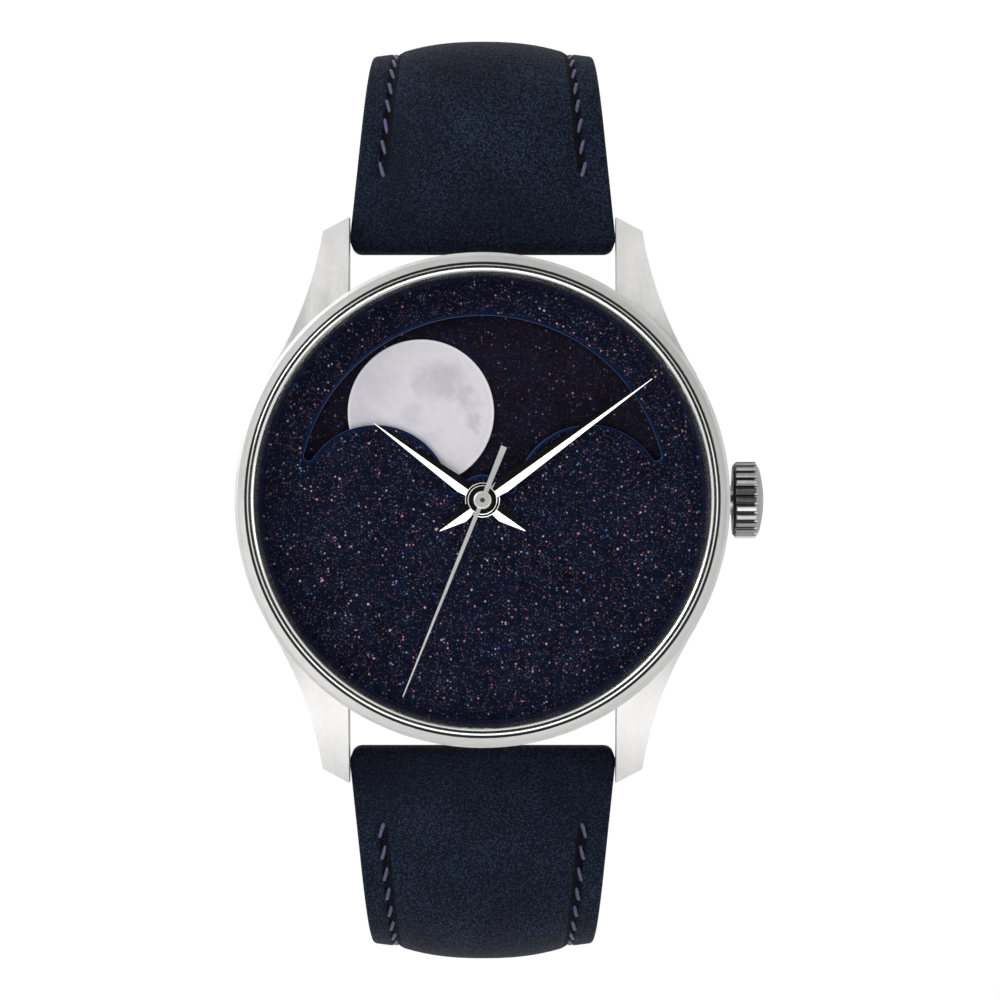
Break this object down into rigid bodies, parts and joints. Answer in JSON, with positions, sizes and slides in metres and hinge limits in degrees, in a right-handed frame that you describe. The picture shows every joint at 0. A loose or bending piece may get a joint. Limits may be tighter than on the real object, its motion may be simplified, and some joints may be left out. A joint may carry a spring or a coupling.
{
  "type": "wristwatch",
  "caption": "Round steel moon phase wristwatch with a dark sparkling dial, three hands, a fluted crown and a stitched leather strap, open at its pin buckle.",
  "frame": {"origin": "centre of the case back, on its outer face, where the watch sits on the wrist", "axes": "+Z out of the dial towards the eye, +Y to 12 o clock, +X to the crown at 3 o clock"},
  "size_m": [0.0434, 0.0776, 0.1147],
  "materials": {
    "brushed_steel": "satin",
    "polished_steel": "mirror polish",
    "crystal_glass": "clear",
    "black_rubber": "matt",
    "dark_flange": "polished dark",
    "aventurine": "gloss with sparkling flecks",
    "night_disc": "dark with sparkling flecks",
    "moon_face": "matt, mottled",
    "gilt_brass": "gilt",
    "plated_brass": "plated, grained",
    "ruby": "polished",
    "spring_steel": "tempered",
    "navy_leather": "grained",
    "lining_leather": "smooth"
  },
  "bodies": {
    "case": {"case_middle": "brushed_steel", "bezel": "polished_steel", "crystal": "crystal_glass", "crystal_gasket": "black_rubber", "dial_flange": "dark_flange", "dial": "aventurine", "case_back": "brushed_steel", "case_back_window": "crystal_glass", "case_back_gasket": "black_rubber", "case_back_screws": "brushed_steel", "crown_tube": "brushed_steel", "mainplate": "plated_brass", "movement_ring": "plated_brass", "casing_clamps": "brushed_steel", "barrel_bridge": "plated_brass", "train_bridge": "plated_brass", "balance_cock": "plated_brass", "movement_screws": "brushed_steel", "jewels": "ruby", "hairspring": "spring_steel", "rotor_bearing": "brushed_steel", "spring_bars": "brushed_steel"},
    "setting_slide": {"setting_lever": "brushed_steel"},
    "crown": {"crown": "polished_steel", "crown_seal": "black_rubber", "winding_stem": "brushed_steel", "clutch_pinion": "brushed_steel"},
    "seconds": {"fourth_wheel": "gilt_brass", "seconds_hand": "polished_steel"},
    "third": {"third_wheel": "gilt_brass"},
    "minute": {"centre_wheel": "gilt_brass", "cannon_pinion": "brushed_steel", "minute_hand": "polished_steel"},
    "barrel": {"mainspring_barrel": "gilt_brass", "mainspring": "spring_steel"},
    "winding": {"ratchet_wheel": "brushed_steel", "barrel_arbor": "brushed_steel"},
    "crown_wheel": {"crown_wheel": "brushed_steel"},
    "click": {"click": "brushed_steel"},
    "escape": {"escape_wheel": "brushed_steel"},
    "fork": {"pallet_fork": "brushed_steel"},
    "balance": {"balance_wheel": "gilt_brass"},
    "minute_wheel": {"minute_wheel": "gilt_brass"},
    "hour": {"hour_wheel": "gilt_brass", "hour_hand": "polished_steel"},
    "day_wheel": {"day_wheel": "gilt_brass"},
    "moon_wheel": {"moon_wheel": "gilt_brass"},
    "moon_disc": {"moon_disc": "night_disc", "moons": "moon_face", "moon_ring_gear": "gilt_brass"},
    "rotor": {"rotor": "gilt_brass"},
    "strap_12": {"strap_12_leather": "navy_leather", "strap_12_lining": "lining_leather", "fixed_keeper": "navy_leather"},
    "free_keeper": {"free_keeper": "navy_leather"},
    "buckle": {"buckle_frame": "polished_steel", "buckle_bar": "brushed_steel"},
    "tongue": {"buckle_tongue": "polished_steel"},
    "strap_6": {"strap_6_leather": "navy_leather", "strap_6_lining": "lining_leather"}
  },
  "joints": [
    {"name": "seconds_turn", "type": "hinge", "parent": "case", "child": "seconds", "pos_m": [0, 0, 0.00947], "axis": [0, 0, 1], "continuous": true},
    {"name": "third_turn", "type": "hinge", "parent": "case", "child": "third", "pos_m": [-0.00205, -0.00564, 0.0035], "axis": [0, 0, 1], "continuous": true},
    {"name": "minute_turn", "type": "hinge", "parent": "case", "child": "minute", "pos_m": [0, 0, 0.00905], "axis": [0, 0, 1], "continuous": true},
    {"name": "barrel_turn", "type": "hinge", "parent": "case", "child": "barrel", "pos_m": [-0.00348, 0.00498, 0.0033], "axis": [0, 0, 1], "continuous": true},
    {"name": "escape_turn", "type": "hinge", "parent": "case", "child": "escape", "pos_m": [0.00481, -0.00337, 0.0038], "axis": [0, 0, 1], "continuous": true},
    {"name": "minute_wheel_turn", "type": "hinge", "parent": "case", "child": "minute_wheel", "pos_m": [-0.00316, -0.00115, 0.0062], "axis": [0, 0, 1], "continuous": true},
    {"name": "hour_turn", "type": "hinge", "parent": "case", "child": "hour", "pos_m": [0, 0, 0.00862], "axis": [0, 0, 1], "continuous": true},
    {"name": "day_wheel_turn", "type": "hinge", "parent": "case", "child": "day_wheel", "pos_m": [0.0042, 0.00727, 0.0068], "axis": [0, 0, 1], "continuous": true},
    {"name": "moon_wheel_turn", "type": "hinge", "parent": "case", "child": "moon_wheel", "pos_m": [0.0032, 0.01052, 0.00704], "axis": [0, 0, 1], "continuous": true},
    {"name": "moon_disc_turn", "type": "hinge", "parent": "case", "child": "moon_disc", "pos_m": [0, 0, 0.00748], "axis": [0, 0, 1], "continuous": true},
    {"name": "crown_pull", "type": "slide", "parent": "case", "child": "setting_slide", "axis": [1, 0, 0], "range_m": [0, 0.0012]},
    {"name": "crown_turn", "type": "hinge", "parent": "setting_slide", "child": "crown", "pos_m": [0, 0, 0.0054], "axis": [1, 0, 0], "continuous": true},
    {"name": "ratchet_turn", "type": "hinge", "parent": "case", "child": "winding", "pos_m": [-0.00348, 0.00498, 0.00205], "axis": [0, 0, 1], "continuous": true},
    {"name": "crown_wheel_turn", "type": "hinge", "parent": "case", "child": "crown_wheel", "pos_m": [0.00246, 0.00624, 0.00205], "axis": [0, 0, 1], "continuous": true},
    {"name": "click_swing", "type": "hinge", "parent": "case", "child": "click", "pos_m": [-0.0087, 0.00498, 0.00205], "axis": [0, 0, 1], "range_deg": [-10, 0], "stiffness_Nm_per_rad": 0.000001, "springref_deg": 11.46},
    {"name": "fork_swing", "type": "hinge", "parent": "case", "child": "fork", "pos_m": [0.00612, -0.00093, 0.0038], "axis": [0, 0, 1], "range_deg": [-5, 5]},
    {"name": "balance_swing", "type": "hinge", "parent": "case", "child": "balance", "pos_m": [0.0079, 0.0027, 0.0033], "axis": [0, 0, 1], "range_deg": [-270, 270], "stiffness_Nm_per_rad": 0.00000018},
    {"name": "rotor_turn", "type": "hinge", "parent": "case", "child": "rotor", "pos_m": [0, 0, 0.0012], "axis": [0, 0, 1], "continuous": true},
    {"name": "strap_12_lift", "type": "hinge", "parent": "case", "child": "strap_12", "pos_m": [0, 0.0217, 0.0026], "axis": [1, 0, 0], "range_deg": [-10, 50]},
    {"name": "strap_6_lift", "type": "hinge", "parent": "case", "child": "strap_6", "pos_m": [0, -0.0217, 0.0026], "axis": [-1, 0, 0], "range_deg": [-10, 50]},
    {"name": "free_keeper_slide", "type": "slide", "parent": "strap_12", "child": "free_keeper", "axis": [0, -0.1045, -0.9945], "range_m": [-0.0053, 0.0042]},
    {"name": "buckle_turn", "type": "hinge", "parent": "strap_12", "child": "buckle", "pos_m": [0, 0.03192, -0.06148], "axis": [1, 0, 0], "range_deg": [-50, 40]},
    {"name": "tongue_turn", "type": "hinge", "parent": "buckle", "child": "tongue", "pos_m": [0, 0.03192, -0.06148], "axis": [1, 0, 0], "range_deg": [0, 60]}
  ],
  "couplings": [
    {"joint": "third_turn", "follows": "seconds_turn", "ratio": -0.13333},
    {"joint": "minute_turn", "follows": "seconds_turn", "ratio": 0.016667},
    {"joint": "barrel_turn", "follows": "seconds_turn", "ratio": -0.0020833},
    {"joint": "escape_turn", "follows": "seconds_turn", "ratio": -12},
    {"joint": "minute_wheel_turn", "follows": "seconds_turn", "ratio": -0.0055556},
    {"joint": "hour_turn", "follows": "seconds_turn", "ratio": 0.0013889},
    {"joint": "day_wheel_turn", "follows": "seconds_turn", "ratio": -0.00069444},
    {"joint": "moon_wheel_turn", "follows": "seconds_turn", "ratio": 0.000092593},
    {"joint": "moon_disc_turn", "follows": "seconds_turn", "ratio": 0.000011758},
    {"joint": "ratchet_turn", "follows": "crown_turn", "ratio": 0.28},
    {"joint": "crown_wheel_turn", "follows": "crown_turn", "ratio": -0.53846}
  ]
}
